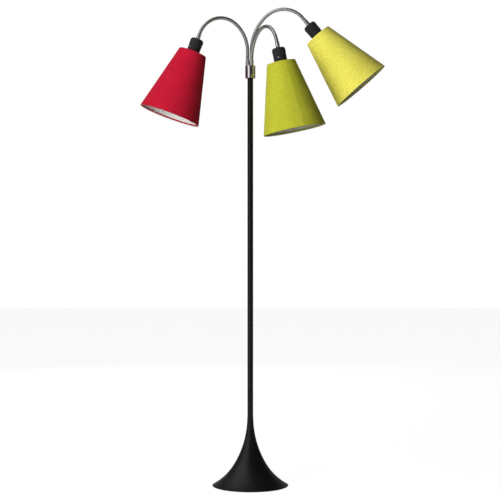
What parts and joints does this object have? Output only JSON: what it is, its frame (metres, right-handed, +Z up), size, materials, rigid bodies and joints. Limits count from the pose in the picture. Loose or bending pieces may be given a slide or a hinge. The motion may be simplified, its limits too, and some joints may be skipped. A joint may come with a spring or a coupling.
{
  "type": "tree floor lamp",
  "caption": "Floor lamp with a trumpet base, a slim pole and gooseneck arms that each carry a lampholder with a push button and a conical fabric shade",
  "frame": {"origin": "centre of the base's underside, on the floor", "axes": "+Z up along the pole, +X to the right and -Y towards the viewer"},
  "size_m": [0.7571, 0.3701, 1.4961],
  "materials": {
    "black_paint": "matte powder coat",
    "cast_iron": "raw casting",
    "steel": "zinc plated",
    "felt": "felt",
    "grommet_rubber": "moulded",
    "chrome": "polished",
    "chrome_hose": "polished, wound",
    "black_plastic": "satin moulded",
    "grey_plastic": "satin moulded",
    "porcelain": "glazed",
    "brass": "bare brass",
    "bulb_metal": "rolled thread",
    "opal_glass": "opal",
    "white_wire": "white enamel",
    "red_fabric": "woven cotton",
    "green_fabric": "woven cotton",
    "yellow_fabric": "woven cotton"
  },
  "bodies": {
    "stand": {"base_shell": "black_paint", "base_weight": "cast_iron", "base_plate": "steel", "base_pad": "felt", "base_rod": "steel", "base_washer": "steel", "base_nut": "steel", "cable_grommet": "grommet_rubber", "pole_lower": "black_paint", "pole_joint": "steel", "pole_upper": "black_paint", "collar_sleeve": "chrome", "collar_hub": "steel", "collar_screw": "steel"},
    "arm_lower_left": {"hose_socket_left": "chrome", "hose_lower_left": "chrome_hose"},
    "arm_upper_left": {"hose_upper_left": "chrome_hose"},
    "head_left": {"hose_tail_left": "chrome_hose", "hose_end_left": "chrome", "holder_cap_left": "black_plastic", "holder_body_left": "black_plastic", "socket_insert_left": "porcelain", "socket_contact_left": "brass", "bulb_cap_left": "bulb_metal", "bulb_glass_left": "opal_glass", "shade_cover_left": "red_fabric", "shade_frame_left": "white_wire", "shade_ring_left": "black_plastic"},
    "switch_left": {"switch_button_left": "grey_plastic"},
    "arm_lower_front": {"hose_socket_front": "chrome", "hose_lower_front": "chrome_hose"},
    "arm_upper_front": {"hose_upper_front": "chrome_hose"},
    "head_front": {"hose_tail_front": "chrome_hose", "hose_end_front": "chrome", "holder_cap_front": "black_plastic", "holder_body_front": "black_plastic", "socket_insert_front": "porcelain", "socket_contact_front": "brass", "bulb_cap_front": "bulb_metal", "bulb_glass_front": "opal_glass", "shade_cover_front": "green_fabric", "shade_frame_front": "white_wire", "shade_ring_front": "black_plastic"},
    "switch_front": {"switch_button_front": "grey_plastic"},
    "arm_lower_right": {"hose_socket_right": "chrome", "hose_lower_right": "chrome_hose"},
    "arm_upper_right": {"hose_upper_right": "chrome_hose"},
    "head_right": {"hose_tail_right": "chrome_hose", "hose_end_right": "chrome", "holder_cap_right": "black_plastic", "holder_body_right": "black_plastic", "socket_insert_right": "porcelain", "socket_contact_right": "brass", "bulb_cap_right": "bulb_metal", "bulb_glass_right": "opal_glass", "shade_cover_right": "yellow_fabric", "shade_frame_right": "white_wire", "shade_ring_right": "black_plastic"},
    "switch_right": {"switch_button_right": "grey_plastic"}
  },
  "joints": [
    {"name": "turn_left", "type": "hinge", "parent": "stand", "child": "arm_lower_left", "pos_m": [-0.0084, 0, 1.317], "axis": [0, 0, 1], "range_deg": [-20, 20]},
    {"name": "bend_left", "type": "hinge", "parent": "arm_lower_left", "child": "arm_upper_left", "pos_m": [-0.04999, -0.02344, 1.44793], "axis": [0.419, -0.8994, -0.1244], "range_deg": [-20, 10], "deforming": ["hose_lower_left", "hose_upper_left"]},
    {"name": "tilt_left", "type": "hinge", "parent": "arm_upper_left", "child": "head_left", "pos_m": [-0.15585, -0.06714, 1.40745], "axis": [-0.419, 0.8994, 0.1244], "range_deg": [-20, 20], "deforming": ["hose_tail_left"]},
    {"name": "press_left", "type": "slide", "parent": "head_left", "child": "switch_left", "axis": [0.6467, 0.7173, -0.2591], "range_m": [0, 0.0015], "stiffness_N_per_m": 400, "springref_m": -0.0015},
    {"name": "turn_front", "type": "hinge", "parent": "stand", "child": "arm_lower_front", "pos_m": [0.0042, -0.00728, 1.317], "axis": [0, 0, 1], "range_deg": [-20, 20]},
    {"name": "bend_front", "type": "hinge", "parent": "arm_lower_front", "child": "arm_upper_front", "pos_m": [0.0693, -0.14438, 1.40073], "axis": [0.9468, 0.257, 0.1939], "range_deg": [-20, 10], "deforming": ["hose_lower_front", "hose_upper_front"]},
    {"name": "tilt_front", "type": "hinge", "parent": "arm_upper_front", "child": "head_front", "pos_m": [0.08052, -0.15872, 1.36493], "axis": [-0.9468, -0.257, -0.1939], "range_deg": [-20, 20], "deforming": ["hose_tail_front"]},
    {"name": "press_front", "type": "slide", "parent": "head_front", "child": "switch_front", "axis": [0.2861, 0.9557, 0.0694], "range_m": [0, 0.0015], "stiffness_N_per_m": 400, "springref_m": -0.0015},
    {"name": "turn_right", "type": "hinge", "parent": "stand", "child": "arm_lower_right", "pos_m": [0.0042, 0.00728, 1.317], "axis": [0, 0, 1], "range_deg": [-20, 20]},
    {"name": "bend_right", "type": "hinge", "parent": "arm_lower_right", "child": "arm_upper_right", "pos_m": [0.05193, -0.00869, 1.47261], "axis": [0.2006, 0.9687, 0.1462], "range_deg": [-20, 10], "deforming": ["hose_lower_right", "hose_upper_right"]},
    {"name": "tilt_right", "type": "hinge", "parent": "arm_upper_right", "child": "head_right", "pos_m": [0.16328, -0.03011, 1.46172], "axis": [-0.2006, -0.9687, -0.1462], "range_deg": [-20, 20], "deforming": ["hose_tail_right"]},
    {"name": "press_right", "type": "slide", "parent": "head_right", "child": "switch_right", "axis": [-0.744, 0.1964, -0.6387], "range_m": [0, 0.0015], "stiffness_N_per_m": 400, "springref_m": -0.0015}
  ]
}
